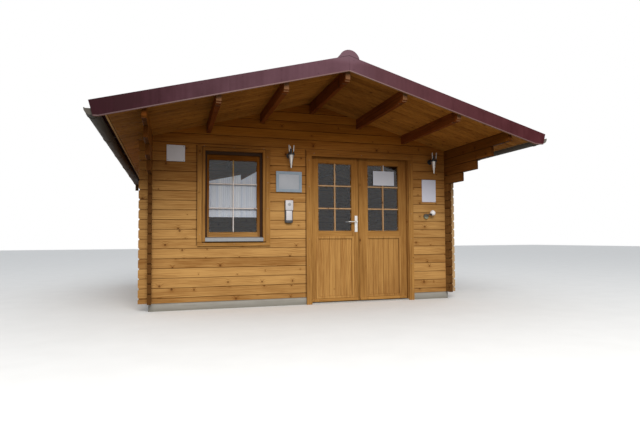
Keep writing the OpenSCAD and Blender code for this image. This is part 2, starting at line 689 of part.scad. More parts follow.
foundation_beams();
floor();
front_wall_left();
front_wall_under_window();
front_wall_middle();
front_wall_right();
front_gable();
back_wall();
back_gable();
left_wall();
right_wall();
wall_plates();
ridge_purlin();
side_purlins();
roof_boards_left();
roof_boards_right();
roof_battens();
roof_sheet_left();
roof_sheet_right();
ridge_cap();
bargeboards();
verge_flashing();
eave_boards();
gutter_left();
gutter_right();
door_frame();
door_casing();
threshold();
door_leaf_left();
door_leaf_right();
door_panel_left();
door_panel_right();
door_glass_left();
door_glass_right();
door_handle_plates();
door_lever();
frame_hinges();
leaf_hinges_left();
leaf_hinges_right();
window_lining();
window_casing();
window_stop();
window_sash();
window_glass();
window_sill();
window_curtain();
wall_lamps();
notice_plate();
framed_board();
notice_sheet();
intercom();
sensor();
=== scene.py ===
import math

import bmesh
import bpy
from mathutils import Matrix, Vector


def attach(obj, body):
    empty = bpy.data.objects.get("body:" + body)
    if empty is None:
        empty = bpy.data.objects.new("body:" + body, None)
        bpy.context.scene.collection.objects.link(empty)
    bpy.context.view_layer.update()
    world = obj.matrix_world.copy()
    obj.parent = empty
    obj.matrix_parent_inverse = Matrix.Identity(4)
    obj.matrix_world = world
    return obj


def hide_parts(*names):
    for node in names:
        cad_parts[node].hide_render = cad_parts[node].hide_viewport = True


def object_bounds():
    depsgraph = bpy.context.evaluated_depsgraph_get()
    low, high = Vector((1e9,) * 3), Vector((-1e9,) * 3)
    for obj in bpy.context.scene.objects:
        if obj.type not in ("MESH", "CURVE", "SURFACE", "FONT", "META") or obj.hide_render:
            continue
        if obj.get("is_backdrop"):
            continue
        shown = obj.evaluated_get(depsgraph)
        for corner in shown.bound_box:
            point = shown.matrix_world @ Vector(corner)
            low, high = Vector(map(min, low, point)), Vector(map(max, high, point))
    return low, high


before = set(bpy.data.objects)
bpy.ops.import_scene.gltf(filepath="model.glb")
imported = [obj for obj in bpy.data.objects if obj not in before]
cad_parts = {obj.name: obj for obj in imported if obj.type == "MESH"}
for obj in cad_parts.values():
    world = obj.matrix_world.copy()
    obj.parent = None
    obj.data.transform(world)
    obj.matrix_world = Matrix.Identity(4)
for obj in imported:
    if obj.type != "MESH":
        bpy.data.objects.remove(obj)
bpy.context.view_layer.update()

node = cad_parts

# Foundation beams
# Impregnated softwood beams lie flat under the walls and have weathered to a pale grey. They are
# cut to length, butted at the corners and stop at the doorway.


class Wire:
    """A number, vector or colour on its way through a finish, worked on with plain arithmetic."""

    def __init__(self, tree, socket):
        self.tree = tree
        self.socket = socket

    def add(self, kind, settings=None, inputs=None, output=0):
        """Adds one node: its settings come first, then the values and links of its sockets."""
        made = self.tree.nodes.new(kind)
        for name, value in (settings or {}).items():
            setattr(made, name, value)
        for name, value in (inputs or {}).items():
            if isinstance(value, Wire):
                self.tree.links.new(value.socket, made.inputs[name])
            else:
                made.inputs[name].default_value = value
        return Wire(self.tree, made.outputs[output])

    def maths(self, operation, *others):
        return self.add("ShaderNodeMath", {"operation": operation}, dict(enumerate((self, *others))))

    def __add__(self, other):
        return self.maths("ADD", other)

    def __sub__(self, other):
        return self.maths("SUBTRACT", other)

    def __rsub__(self, other):
        return self.maths("MULTIPLY_ADD", -1.0, other)

    def __mul__(self, other):
        return self.maths("MULTIPLY", other)

    def __truediv__(self, other):
        return self.maths("DIVIDE", other)

    def __pow__(self, other):
        return self.maths("POWER", other)

    def __gt__(self, other):
        return self.maths("GREATER_THAN", other)

    def __neg__(self):
        return self * -1

    def __abs__(self):
        return self.maths("ABSOLUTE")

    __radd__ = __add__
    __rmul__ = __mul__

    def wave(self):
        """Turns full turns into a wave between 0 and 1."""
        return (self * math.tau).maths("SINE") * 0.5 + 0.5

    def clamped(self):
        return self.add("ShaderNodeClamp", None, {"Value": self})

    def split(self):
        """The vector's three parts."""
        return [self.add("ShaderNodeSeparateXYZ", None, {0: self}, output) for output in range(3)]

    def join(self, x, y, z):
        return self.add("ShaderNodeCombineXYZ", None, {0: x, 1: y, 2: z})

    def noise(self, where, scale=1.0, detail=2.0, roughness=0.5):
        sizes = {"Vector": where, "Scale": scale, "Detail": detail, "Roughness": roughness}
        return self.add("ShaderNodeTexNoise", None, sizes)

    def chance(self, seed):
        """An even random number for each value of seed."""
        return self.add("ShaderNodeTexWhiteNoise", {"noise_dimensions": "1D"}, {"W": seed})

    def blend(self, first, second):
        """The first colour where this mask is 0, and the second where it is 1."""
        first, second = [c if isinstance(c, Wire) else (*c, 1) for c in (first, second)]
        return self.add("ShaderNodeMix", {"data_type": "RGBA"}, {0: self, 6: first, 7: second}, 2)

    def tint(self, colour, shade):
        """The colour as it is where this mask is 0, and filtered by the shade where it is 1."""
        settings = {"data_type": "RGBA", "blend_type": "MULTIPLY"}
        return self.add("ShaderNodeMix", settings, {0: self, 6: colour, 7: (*shade, 1)}, 2)

    def bump(self, strength, distance):
        """The normal of a surface that this height raises by up to that distance in metres."""
        amounts = {"Strength": strength, "Distance": distance, "Height": self}
        return self.add("ShaderNodeBump", None, amounts)


def finish(name, build, fixed=None):
    """A material: build turns the place on the object into the inputs that change over the surface."""
    material = bpy.data.materials.new(name)
    material.use_nodes = True
    tree = material.node_tree
    shader = tree.nodes["Principled BSDF"]
    for socket, value in (fixed or {}).items():
        shader.inputs[socket].default_value = value
    place = Wire(tree, tree.nodes.new("ShaderNodeTexCoord").outputs["Object"])
    for socket, value in build(place).items():
        tree.links.new(value.socket, shader.inputs[socket])
    return material


def facing(place, axis):
    """How far the surface faces along an axis of the object, from 0 to 1."""
    turned = place.add("ShaderNodeTexCoord", output="Normal").split()["XYZ".index(axis)]
    return abs(turned)


def dress(names, material):
    for name in names:
        node[name].data.materials.clear()
        node[name].data.materials.append(material)


BEAM_DEEP, BEAM_PALE, BEAM_DAMP = (0.19, 0.17, 0.14), (0.46, 0.44, 0.39), (0.14, 0.13, 0.10)


def weathered_beam(place):
    x, y, z = place.split()
    streak = place.noise(place.join(x * 3, y * 3, z * 40), detail=4)
    patch = place.noise(place, scale=5, detail=5, roughness=0.6)
    damp = (1 - z * 14).clamped() * (0.3 + patch * 0.6)
    tone = (streak * 0.7 + patch * 0.5 - 0.1).clamped()
    colour = damp.blend(tone.blend(BEAM_DEEP, BEAM_PALE), BEAM_DAMP)
    return {"Base Color": colour, "Roughness": 0.75 + streak * 0.2, "Normal": streak.bump(0.5, 0.002)}


dress(["foundation_beams"], finish("weathered_beam", weathered_beam))

# Log walls
# Planed pine logs lie course on course with tongue and groove, and their chamfered edges leave a
# dark line at each joint. They are notched over each other at the corners and glazed honey-brown.
COURSE = 0.116
WALLS_FOOT = 0.095
HALF_WALL = 2.0
HONEY, AMBER = (0.530, 0.292, 0.096), (0.225, 0.090, 0.020)
SAWN = ((0.300, 0.135, 0.034), (0.115, 0.043, 0.010))
# The third colour darkens both dirt and painted shade.
KNOT, JOINT_DIRT, GRIME_AND_SHADE_COLOUR = (0.085, 0.026, 0.008), (0.040, 0.014, 0.005), (0.035, 0.013, 0.005)
# The first tint is painted shade under the roof, over a glaze that stays deeper there.
ROOF_SHADE_AND_GLAZE_TINT, BLEACHED = (0.73, 0.455, 0.155), (0.520, 0.370, 0.210)
KNOT_CELL = (0.42, 0.12)
RINGS_PER_METRE = 62


def pine(name, along, across, width, start, pale=HONEY, deep=AMBER, seed=0.0, joint=0.010, dark=0.8,
         turned=None, sawn=SAWN, eaves=None, grime_and_shade=None, bleach=None, clear=0.42, contrast=0.5):
    """Glazed pine boards: the grain runs along one axis and the boards lie side by side across another.

    Where turned gives 1, the piece lies crosswise and its grain with it. Above the first height in eaves
    the colour is tinted redder and darker, fully so at the second: painted shade under the roof, over a
    glaze that stays deeper there. Where grime gives 1 the colour is darkened, in most uses as painted
    shade. The weather has bleached the wood where bleach does. The share of places without a knot is
    clear, and contrast is how much the boards differ.
    """

    def build(place):
        axes = dict(zip("XYZ", place.split()))
        thick = axes[({"X", "Y", "Z"} - {along, across}).pop()]
        ending = facing(place, along)
        if turned:
            crosswise = turned(*place.split())
            swap = (axes[across] - axes[along]) * crosswise
            axes[along] = axes[along] + swap
            axes[across] = axes[across] - swap
            ending = ending + (facing(place, across) - ending) * crosswise
        step = (axes[across] - start) / width
        board = step.maths("FLOOR")
        luck = place.chance(board + seed)
        shade = place.chance(board * 1.7 + seed + 31)
        run = axes[along] + luck * 23
        side = axes[across] + shade * 5

        # A knot sits in some cells of a loose pattern, and the grain bends round it.
        cell_long, cell_wide = KNOT_CELL
        spot = place.join(run / cell_long, side / cell_wide, 0.0)
        cells = {"Vector": spot, "Scale": 1.0, "Randomness": 0.9}
        flat = {"voronoi_dimensions": "2D"}
        middle = place.add("ShaderNodeTexVoronoi", flat, cells, "Position").split()
        draws = place.add("ShaderNodeTexVoronoi", flat, cells, "Color").split()
        away = spot.split()
        off_long, off_wide = (away[0] - middle[0]) * cell_long, (away[1] - middle[1]) * cell_wide
        from_knot = (off_long ** 2 + off_wide ** 2) ** 0.5
        radius = 0.006 + draws[0] * 0.013
        there = draws[1] > clear
        knot = ((radius - from_knot) / (radius * 0.45)).clamped() * there
        halo = ((1 - from_knot / (radius * 4.5)).clamped() ** 2) * there

        waver = place.noise(place.join(run * 1.1, side * 7, thick * 7), detail=3)
        rings = (side + thick * 0.6) * RINGS_PER_METRE + waver * 5.5 + halo * 2.4
        lines = rings.wave()
        fibre = place.noise(place.join(run * 5, side * 330, thick * 330), detail=3, roughness=0.6)
        streak = place.noise(place.join(run * 2.4, side * 62, thick * 62), detail=3, roughness=0.6)
        patch = place.noise(place.join(run * 1.6, side * 8, thick * 8), detail=4, roughness=0.55)
        mottle = place.noise(place, scale=1.3, detail=3)

        grain = lines ** 2 * 0.36 + (fibre - 0.5) * 0.5 + (streak - 0.5) * 1.1 + halo * 0.45
        cloudy = (patch - 0.5) * 1.15 + (mottle - 0.5) * 0.5
        tone = (grain + cloudy + (shade - 0.5) * contrast + 0.24).clamped()
        colour = tone.blend(pale, deep)
        colour = (knot * 0.7).blend(colour, KNOT)

        # End grain drinks more of the glaze and shows its rings.
        low = step.maths("FRACT")
        pith = (((low - 0.3) * width) ** 2 + (thick + 0.013).maths("PINGPONG", 0.05) ** 2) ** 0.5
        growth = (pith * 180 + waver * 0.8).wave()
        end = ending > 0.75
        end_colour = (growth * 0.55 + patch * 0.5).clamped().blend(*sawn)
        colour = end.blend(colour, end_colour)

        # Dirt and thick glaze gather in the chamfered joints.
        if joint:
            edge = abs(low - 0.5) * 2
            groove = ((edge - (1 - joint / width)) * (width / joint) * 1.3).clamped()
            colour = (groove * dark).blend(colour, JOINT_DIRT)
        x, y, z = place.split()
        # Painted shade under the roof, over a glaze that stays deeper there: redder and darker higher up.
        if eaves:
            under_roof = ((z - eaves[0]) / (eaves[1] - eaves[0])).clamped()
            colour = under_roof.tint(colour, ROOF_SHADE_AND_GLAZE_TINT)
        # Darkened by the mask given for dirt and shade: painted shade in most uses.
        if grime_and_shade:
            colour = (grime_and_shade(x, y, z) * 0.8).blend(colour, GRIME_AND_SHADE_COLOUR)
        if bleach:
            colour = bleach(x, y, z).blend(colour, BLEACHED)

        height = lines * 0.25 + fibre * 0.6 - knot * 0.5
        rough = 0.50 + fibre * 0.2 + end * 0.2
        return {"Base Color": colour, "Roughness": rough, "Normal": height.bump(0.35, 0.0012)}

    return finish(name, build, {"Specular IOR Level": 0.02})


def within(x, span):
    """1 between the two ends of a span."""
    return 1 - (abs(x - sum(span) / 2) > (span[1] - span[0]) / 2)


def log_ends_and_casing_shadows(x, y, z):
    """Darker on the left log ends, and a painted shadow in the gap beside the left strip of each casing."""
    door_gap = within(x, (-0.089, -0.075)) * (2.0 - z > 0)
    window_gap = within(x, (-1.455, -1.441)) * within(z, (0.77, 1.99))
    return (-x > HALF_WALL) * 0.10 + (door_gap + window_gap) * (-y > HALF_WALL - 0.01) * 0.7


def side_log_shade(x, y, z):
    """Painted shade on the log ends in front of the walls, less on the stepped-out logs high up."""
    less = (z > 1.5) * ((-x > 0) * 0.12 + (x > 0) * (1.86 - z > 0) * 0.22)
    return (abs(y) > HALF_WALL) * (0.70 - less)


front_start = WALLS_FOOT + COURSE / 2
# Heights where the painted shade under the roof begins on the logs, and where it is full.
EAVES = (1.20, 2.18)
front_logs = pine("front_log_pine", "X", "Z", COURSE, front_start, eaves=EAVES, grime_and_shade=log_ends_and_casing_shadows,
                  bleach=lambda x, y, z: (x > HALF_WALL) * 0.55)
side_logs = pine("side_log_pine", "Y", "Z", COURSE, WALLS_FOOT, seed=60.0, eaves=(1.10, 1.95),
                 grime_and_shade=side_log_shade)
dress(["front_wall_left", "front_wall_under_window", "front_wall_middle", "front_wall_right",
       "front_gable", "back_wall", "back_gable"], front_logs)
dress(["left_wall", "right_wall", "wall_plates"], side_logs)

# Floor
# Planed pine boards, worn dull and paler than the walls, lie between the beams.
FLOOR_BOARD = 0.12
FLOOR_PALE, FLOOR_DEEP = (0.36, 0.24, 0.13), (0.17, 0.095, 0.045)
dress(["floor"],
      pine("floor_pine", "X", "Y", FLOOR_BOARD, 0.0, FLOOR_PALE, FLOOR_DEEP, 17.0, 0.003, 0.6))

# Purlins
# Squared pine beams run under the roof boards from gable to gable and out over the porch.
# They took a second coat of a redder, darker glaze.
RUST_PALE, RUST_DEEP = (0.215, 0.058, 0.011), (0.075, 0.015, 0.003)
RUST_SAWN = ((0.215, 0.103, 0.048), (0.100, 0.042, 0.017))
PURLIN_BAND = 0.65
dress(["ridge_purlin", "side_purlins"],
      pine("purlin_pine", "Y", "X", PURLIN_BAND, -PURLIN_BAND / 2, RUST_PALE, RUST_DEEP, 5.0,
           sawn=RUST_SAWN))

# Roof boards, battens, eave boards and bargeboards
# Tongued boards run down the slope with a chamfered joint underneath. Battens lie across them
# under the steel sheet, a plain board closes each eave, and a board on edge closes each verge.
BOARD = 0.096
BOARDS_FRONT = -3.397
DUSK_PALE, DUSK_DEEP = (0.540, 0.222, 0.038), (0.192, 0.065, 0.009)


def soffit_shade(x, y, z):
    """Painted shade over all but the right slope, thickest at the ridge and the left verge."""
    past_wall = (-x > 2.03) * (y > -1.95)
    slope_shade = (1 - within(x, (0.65, 2.6))) * 0.22 + within(x, (-0.1, 0.65)) * 0.14 + (-x > 1.0) * 0.10
    verge = (-x > 1.3) * (-y > 2.75) * 0.24
    return (slope_shade + verge) * (1 - past_wall)


dress(["roof_boards_left", "roof_boards_right"],
      pine("roof_board_pine", "X", "Y", BOARD, BOARDS_FRONT, DUSK_PALE, DUSK_DEEP, 9.0, 0.008, 0.6,
           grime_and_shade=soffit_shade, contrast=0.3))
BATTEN_BAND, VERGE_BAND = 0.3, 0.9
dress(["roof_battens", "eave_boards"], pine("batten_pine", "Y", "Z", BATTEN_BAND, 0.0, seed=21.0))
dress(["bargeboards"], pine("bargeboard_pine", "X", "Z", VERGE_BAND, 0.0, seed=25.0))

# Roof sheets
# Wave-profiled sheet steel, coated wine red, lies on the battens. A screw with a washer holds it
# in every second valley at each batten.
PITCH = math.radians(15.4)
WALL_TOP, WALL_CENTRE = 2.067, 1.9775
RIDGE = WALL_TOP + math.tan(PITCH) * WALL_CENTRE
VALLEY, WAVE = 0.059, 5.792 / 253 * 8
BATTENS = (0.440, 0.790, 1.140, 1.490, 1.840, 2.336)
WINE_DEEP, WINE_PALE, CAP_HIGHLIGHT = (0.026, 0.0040, 0.0070), (0.124, 0.059, 0.075), (0.125, 0.072, 0.088)
SHEET_HEAD = (0.010, 0.007)


def red_coat(place):
    x, y, z = place.split()
    dust = place.noise(place, scale=3.5, detail=5, roughness=0.62)
    grit = place.noise(place, scale=160, detail=2)
    run = place.noise(place.join(x * 22, y * 22, z * 1.5), detail=3)
    # Paler near the middle of the roof, with a painted highlight on the top of the ridge cap.
    paleness_and_cap_highlight = 0.85 - abs(x - 0.3) / 3.0 + ((z - 2.62) / 0.12).clamped() * 0.6
    wear_and_highlight = (dust * 0.6 + run * 0.35 - 0.48 + paleness_and_cap_highlight).clamped()
    colour = wear_and_highlight.blend(WINE_DEEP, WINE_PALE)
    # Shifted in tone along the roof: darker past the middle, then lighter and redder towards the right end,
    # and darker at the left end.
    for part, shade in ((x / 0.3, (0.66, 0.55, 0.53)), ((x - 0.3) / 1.9, (1.66, 1.17, 1.08)),
                        ((x - 1.9) / 0.4, (1.24, 1.34, 1.34)), ((-x - 1.5) / 0.7, (0.70, 0.29, 0.47))):
        colour = part.clamped().tint(colour, shade)
    # Painted highlight along the top of the ridge cap.
    colour = (((z - 2.64) / 0.06).clamped() * 0.6).blend(colour, CAP_HIGHLIGHT)
    return {"Base Color": colour, "Roughness": 0.52 + dust * 0.2, "Normal": grit.bump(0.06, 0.0006)}


def named(name):
    """Gives the piece at hand its name."""
    piece = bpy.context.object
    piece.name = piece.data.name = name
    return piece


def choose(test):
    """Selects, in edit mode, the faces whose middle and normal pass the test."""
    bpy.ops.mesh.select_mode(type="FACE")
    bpy.ops.mesh.select_all(action="DESELECT")
    shape = bmesh.from_edit_mesh(bpy.context.object.data)
    for face in shape.faces:
        face.select_set(test(face.calc_center_median(), face.normal))
    bmesh.update_edit_mesh(bpy.context.object.data)


def raised(by):
    """Pulls the chosen faces out of the shape."""
    bpy.ops.mesh.extrude_region_move(TRANSFORM_OT_translate={"value": by})


def joined(name, pieces):
    bpy.ops.object.select_all(action="DESELECT")
    for piece in pieces:
        piece.select_set(True)
    bpy.context.view_layer.objects.active = pieces[0]
    bpy.ops.object.join()
    return named(name)


def on_roof(side, along, y, height):
    """A place on a slope, by its way down from the ridge and its height over the boards' underside."""
    across = along * math.cos(PITCH) + height * math.sin(PITCH)
    return Vector((side * across, y, RIDGE - along * math.sin(PITCH) + height * math.cos(PITCH)))


def screw_head(radius, height):
    """A round head with a driver recess, on a flat washer, standing at the origin."""
    bpy.ops.object.select_all(action="DESELECT")
    washer = height * 0.35
    bpy.ops.mesh.primitive_cylinder_add(vertices=10, radius=radius, depth=washer,
                                        location=(0, 0, washer / 2))
    bpy.ops.object.transform_apply()
    bpy.ops.object.mode_set(mode="EDIT")
    choose(lambda middle, normal: normal.z > 0.9)
    bpy.ops.mesh.inset(thickness=radius * 0.28)
    raised((0, 0, height * 0.65))
    bpy.ops.mesh.inset(thickness=radius * 0.30)
    raised((0, 0, -height * 0.3))
    bpy.ops.object.mode_set(mode="OBJECT")
    return named("head")


def heads(name, spots, radius, height):
    """Screw heads at a row of spots, each a place and the way that the head points."""
    first = screw_head(radius, height)
    copies = []
    for spot, outward in spots:
        head = first.copy()
        head.data = first.data.copy()
        turn = Vector(outward).to_track_quat("Z", "Y").to_matrix().to_4x4()
        head.data.transform(Matrix.Translation(spot) @ turn)
        bpy.context.collection.objects.link(head)
        copies.append(head)
    bpy.data.objects.remove(first)
    return joined(name, copies)


def fit(piece, body, material, replaced=()):
    """Finishes a new piece and lets it ride with the body that carries it."""
    piece.data.materials.clear()
    piece.data.materials.append(material)
    bpy.ops.object.select_all(action="DESELECT")
    piece.select_set(True)
    bpy.context.view_layer.objects.active = piece
    bpy.ops.object.shade_smooth_by_angle(angle=math.radians(32))
    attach(piece, body)
    if replaced:
        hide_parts(*replaced)


red_steel = finish("red_coated_steel", red_coat, {"Specular IOR Level": 0.09})
dress(["roof_sheet_left", "roof_sheet_right"], red_steel)
for side, hand in ((-1, "left"), (1, "right")):
    up_slope = (side * math.sin(PITCH), 0, math.cos(PITCH))
    spots = [(on_roof(side, along, BOARDS_FRONT + 0.001 + WAVE * number, VALLEY), up_slope)
             for along in BATTENS for number in range(1, 32, 2)]
    fit(heads("sheet_screws_" + hand, spots, *SHEET_HEAD), "root", red_steel)

# Verge flashing
# Folded sheet steel covers each bargeboard and laps back over the roof sheet. Its lower edge is
# turned over into a hem that is rubbed pale, nails hold its face, and the lengths lap in seams.
VERGE_TOP, VERGE_FOOT, VERGE_LEVEL = 2.7177, 2.5557, 1.925
VERGE_ENDS, VERGE_CORNERS = (-2.3964, 2.4003), (-2.3538, 2.2897)
FACE_FRONT, FACE_BACK = -3.420, 2.420
HEM_WIDTH, SEAM_HALF = 0.012, 0.003
SEAMS = (-1.21, 0.0, 1.21)
VERGE_NAIL = (0.0050, 0.0028)


def rubbed_coat(place):
    rub = place.noise(place, scale=9, detail=4, roughness=0.6)
    colour = rub.blend((0.080, 0.031, 0.030), (0.150, 0.074, 0.066))
    left_end = ((-place.split()[0] - 0.9) / 1.2).clamped()
    return {"Base Color": left_end.tint(colour, (0.50, 0.38, 0.42)), "Roughness": 0.5 + rub * 0.2}


def verge_drop(x):
    """How far a verge has come down at x: the left one is a little flatter."""
    return abs(x) * math.tan(math.radians(15) if x < 0 else PITCH)


def block(name, low, high, edge, turn=(0, 0, 0)):
    """A box between two corners with its edges eased, turned about its middle."""
    low, high = Vector(low), Vector(high)
    bpy.ops.object.select_all(action="DESELECT")
    bpy.ops.mesh.primitive_cube_add(size=1, location=(low + high) / 2)
    piece = named(name)
    piece.scale = high - low
    bpy.ops.object.transform_apply(location=False, rotation=False, scale=True)
    bpy.ops.object.mode_set(mode="EDIT")
    bpy.ops.mesh.select_all(action="SELECT")
    bpy.ops.mesh.bevel(offset=edge, segments=2, affect="EDGES")
    bpy.ops.object.mode_set(mode="OBJECT")
    piece.rotation_euler = turn
    bpy.ops.object.transform_apply()
    return piece


def strip(name, start, end, width, y, edge):
    """A flat strip on an upright face: its lower edge runs from start to end, each an x and a z."""
    (x0, z0), (x1, z1) = start, end
    length, turn = math.hypot(x1 - x0, z1 - z0), math.atan2(z0 - z1, x1 - x0)
    x, z = (x0 + x1) / 2 + math.sin(turn) * width / 2, (z0 + z1) / 2 + math.cos(turn) * width / 2
    low = (x - length / 2, y[0], z - width / 2)
    return block(name, low, (x + length / 2, y[1], z + width / 2), edge, (0, turn, 0))


dress(["verge_flashing"], red_steel)
hem, seams, nails = [], [], []
for face, out in ((FACE_FRONT, -1), (FACE_BACK, 1)):
    y = sorted((face + out * 0.0034, face - out * 0.001))
    corners = ((VERGE_ENDS[0], VERGE_LEVEL), (VERGE_CORNERS[0], VERGE_LEVEL), (0, VERGE_FOOT),
               (VERGE_CORNERS[1], VERGE_LEVEL), (VERGE_ENDS[1], VERGE_LEVEL))
    hem += [strip("hem", *pair, HEM_WIDTH, y, 0.0015) for pair in zip(corners, corners[1:])]
    for x in SEAMS:
        low = (x - SEAM_HALF, y[0] + 0.0008, VERGE_FOOT - verge_drop(x) + 0.001)
        high = (x + SEAM_HALF, y[1] - 0.0008, VERGE_TOP - verge_drop(x) - 0.004)
        seams.append(block("seam", low, high, 0.001))
    for number in range(-6, 7):
        x = number * 0.38 + 0.05
        nails += [((x, face, z - verge_drop(x)), (0, out, 0)) for z in (2.592, 2.690)]
fit(joined("verge_hems", hem), "root", finish("rubbed_coat", rubbed_coat))
fit(joined("verge_seams", seams), "root", red_steel)
fit(heads("verge_nails", nails, *VERGE_NAIL), "root", red_steel)

# Ridge cap
# Half-round lengths of the same steel lap over each other in beads, with a closed disc at each
# end, and screws hold them down through both sides.
CAP_RADIUS, CAP_MIDDLE = 0.111, RIDGE + 0.106 + 0.057 - 0.111
CAP_CUT = CAP_MIDDLE + 0.026
CAP_HEAD = (0.007, 0.005)
END_BEAD, LAP_BEAD = 0.0024, 0.0034
CAP_BEADS = ((-3.4215, END_BEAD), (-1.50, LAP_BEAD), (-1.47, LAP_BEAD), (0.46, LAP_BEAD), (0.49, LAP_BEAD),
             (2.4215, END_BEAD))
dress(["ridge_cap"], red_steel)
beads = []
for y, thick in CAP_BEADS:
    bpy.ops.object.select_all(action="DESELECT")
    bpy.ops.mesh.primitive_torus_add(
        location=(0, y, CAP_MIDDLE), rotation=(math.pi / 2, 0, 0), major_segments=72, minor_segments=8,
        major_radius=CAP_RADIUS - 0.0005, minor_radius=thick)
    bpy.ops.object.transform_apply()
    bpy.ops.object.mode_set(mode="EDIT")
    bpy.ops.mesh.select_all(action="SELECT")
    bpy.ops.mesh.bisect(plane_co=(0, 0, CAP_CUT), plane_no=(0, 0, 1), clear_inner=True, use_fill=True)
    bpy.ops.object.mode_set(mode="OBJECT")
    beads.append(named("bead"))
fit(joined("cap_beads", beads), "root", red_steel)
lean = math.radians(32)
spots = []
for side in (-1, 1):
    outward = Vector((side * math.cos(lean), 0, math.sin(lean)))
    spots += [(outward * CAP_RADIUS + Vector((0, -3.2 + number * 0.42, CAP_MIDDLE)), outward)
              for number in range(14)]
fit(heads("cap_screws", spots, *CAP_HEAD), "root", red_steel)

# Gutters
# Half-round gutters of dull grey coated steel hang in brackets under both eaves, with closed
# ends, a short outlet at the back, and the outer edge rolled into a bead. The left one is darker.
GUTTER_EDGE, GUTTER_LIP, BEAD_RADIUS = 2.4705, 1.998, 0.006
GUTTER_RUN = (-3.395, 2.395)


def grey_coat(place):
    x, y, z = place.split()
    dust = place.noise(place, scale=6, detail=5, roughness=0.6)
    run = place.noise(place.join(x * 30, y * 30, z * 2), detail=3)
    stain = (dust * 0.9 + run * 0.4 - 0.4).clamped()
    left = stain.blend((0.070, 0.063, 0.054), (0.126, 0.112, 0.092))
    left = ((y + 3.0) / 2.4).clamped().tint(left, (1.0, 0.62, 0.34))
    right = stain.blend((0.120, 0.110, 0.092), (0.190, 0.175, 0.150))
    colour = (x > 0).blend(left, right)
    return {"Base Color": colour, "Roughness": 0.45 + dust * 0.2}


def rod(name, start, end, radius, sides=16, ease=0.0):
    """A round bar between two points, its rims eased."""
    start, end = Vector(start), Vector(end)
    bpy.ops.object.select_all(action="DESELECT")
    bpy.ops.mesh.primitive_cylinder_add(vertices=sides, radius=radius, depth=(end - start).length,
                                        location=(start + end) / 2,
                                        rotation=(end - start).to_track_quat("Z", "Y").to_euler())
    bpy.ops.object.mode_set(mode="EDIT")
    bpy.ops.mesh.select_all(action="DESELECT")
    bpy.ops.mesh.edges_select_sharp(sharpness=math.radians(60))
    bpy.ops.mesh.bevel(offset=ease or radius * 0.2, segments=2, affect="EDGES")
    bpy.ops.object.mode_set(mode="OBJECT")
    bpy.ops.object.transform_apply()
    return named(name)


grey_steel = finish("grey_coated_steel", grey_coat, {"Specular IOR Level": 0.03})
dress(["gutter_left", "gutter_right"], grey_steel)
for side, hand in ((-1, "left"), (1, "right")):
    ends = [(side * GUTTER_EDGE, y, GUTTER_LIP) for y in GUTTER_RUN]
    fit(rod("gutter_bead_" + hand, *ends, BEAD_RADIUS), "root", grey_steel)

# Door frame and casing
# Planed pine posts stand on the threshold at each side of the doorway under a head, with a stop
# strip on each, and a flat casing is nailed over the gap to the logs.
STRAW, CARAMEL = (0.440, 0.224, 0.062), (0.187, 0.077, 0.018)
JOINERY_BAND = (0.36, -0.02)
CASING_FACE, HEAD_NAILS = -2.020, 1.951
DOOR_FRAME_HEAD, DOOR_CASING_HEAD = 1.9305, 1.916
JOINERY_NAIL = (0.0035, 0.0015)


def joinery(name, seed, turned, grime_and_shade=None):
    """Smooth joinery pine, its grain upright but for the rails."""
    # Joinery high up gets the painted shade under the roof.
    return pine(name, "Z", "X", *JOINERY_BAND, STRAW, CARAMEL, seed, 0.0, turned=turned,
                eaves=(1.35, 2.25), grime_and_shade=grime_and_shade, clear=0.85, contrast=0.25)


def steel_nail(place):
    tarnish = place.noise(place, scale=60, detail=3)
    colour = tarnish.blend((0.20, 0.17, 0.14), (0.36, 0.33, 0.29))
    return {"Base Color": colour, "Roughness": 0.4 + tarnish * 0.3}


dress(["door_frame"], joinery("door_frame_pine", 41.0, lambda x, y, z: z > DOOR_FRAME_HEAD))
dress(["door_casing"], joinery("door_casing_pine", 44.0, lambda x, y, z: z > DOOR_CASING_HEAD))
nail_steel = finish("tarnished_nail", steel_nail, {"Metallic": 0.7})
front = (0, -1, 0)
spots = [((x, CASING_FACE, 0.16 + number * 0.34), front) for x in (-0.040, 1.418) for number in range(6)]
spots += [((x, CASING_FACE, HEAD_NAILS), front) for x in (0.03, 0.36, 0.69, 1.02, 1.35)]
fit(heads("casing_nails", spots, *JOINERY_NAIL), "root", nail_steel)

# Door leaves
# Each leaf has pine stiles and rails, and a weather bar across its foot. Pale pine glazing bars
# and quarter-round beads hold the panes on both faces.
PALE_BAR, PALE_DEEP = (0.560, 0.345, 0.175), (0.360, 0.190, 0.080)
GLASS_FOOT, GLASS_HEAD = 0.942, 1.842
LEFT_GLASS, RIGHT_GLASS = (0.101, 0.570), (0.802, 1.260)
BAR_LEVELS, BAR_WIDTH, BEAD_WIDTH = (1.242, 1.542), 0.017, 0.006


def bead_frame(name, low, high, width, ease):
    """Four mitred beads inside the opening between two corners, rounded towards the pane."""
    low, high = Vector(low), Vector(high)
    middle = ((low.x + high.x) / 2, high.y, (low.z + high.z) / 2)
    bpy.ops.object.select_all(action="DESELECT")
    bpy.ops.mesh.primitive_plane_add(size=1, location=middle, rotation=(math.pi / 2, 0, 0))
    bpy.context.object.scale = (high.x - low.x, high.z - low.z, 1)
    bpy.ops.object.transform_apply()
    bpy.ops.object.mode_set(mode="EDIT")
    bpy.ops.mesh.select_all(action="SELECT")
    bpy.ops.mesh.inset(thickness=width)
    bpy.ops.mesh.delete(type="FACE")
    bpy.ops.mesh.select_all(action="SELECT")
    raised((0, low.y - high.y, 0))
    bpy.ops.mesh.select_all(action="SELECT")
    bpy.ops.mesh.normals_make_consistent(inside=False)
    bpy.ops.mesh.bevel(offset=ease, segments=3, affect="EDGES")
    bpy.ops.object.mode_set(mode="OBJECT")
    return named(name)


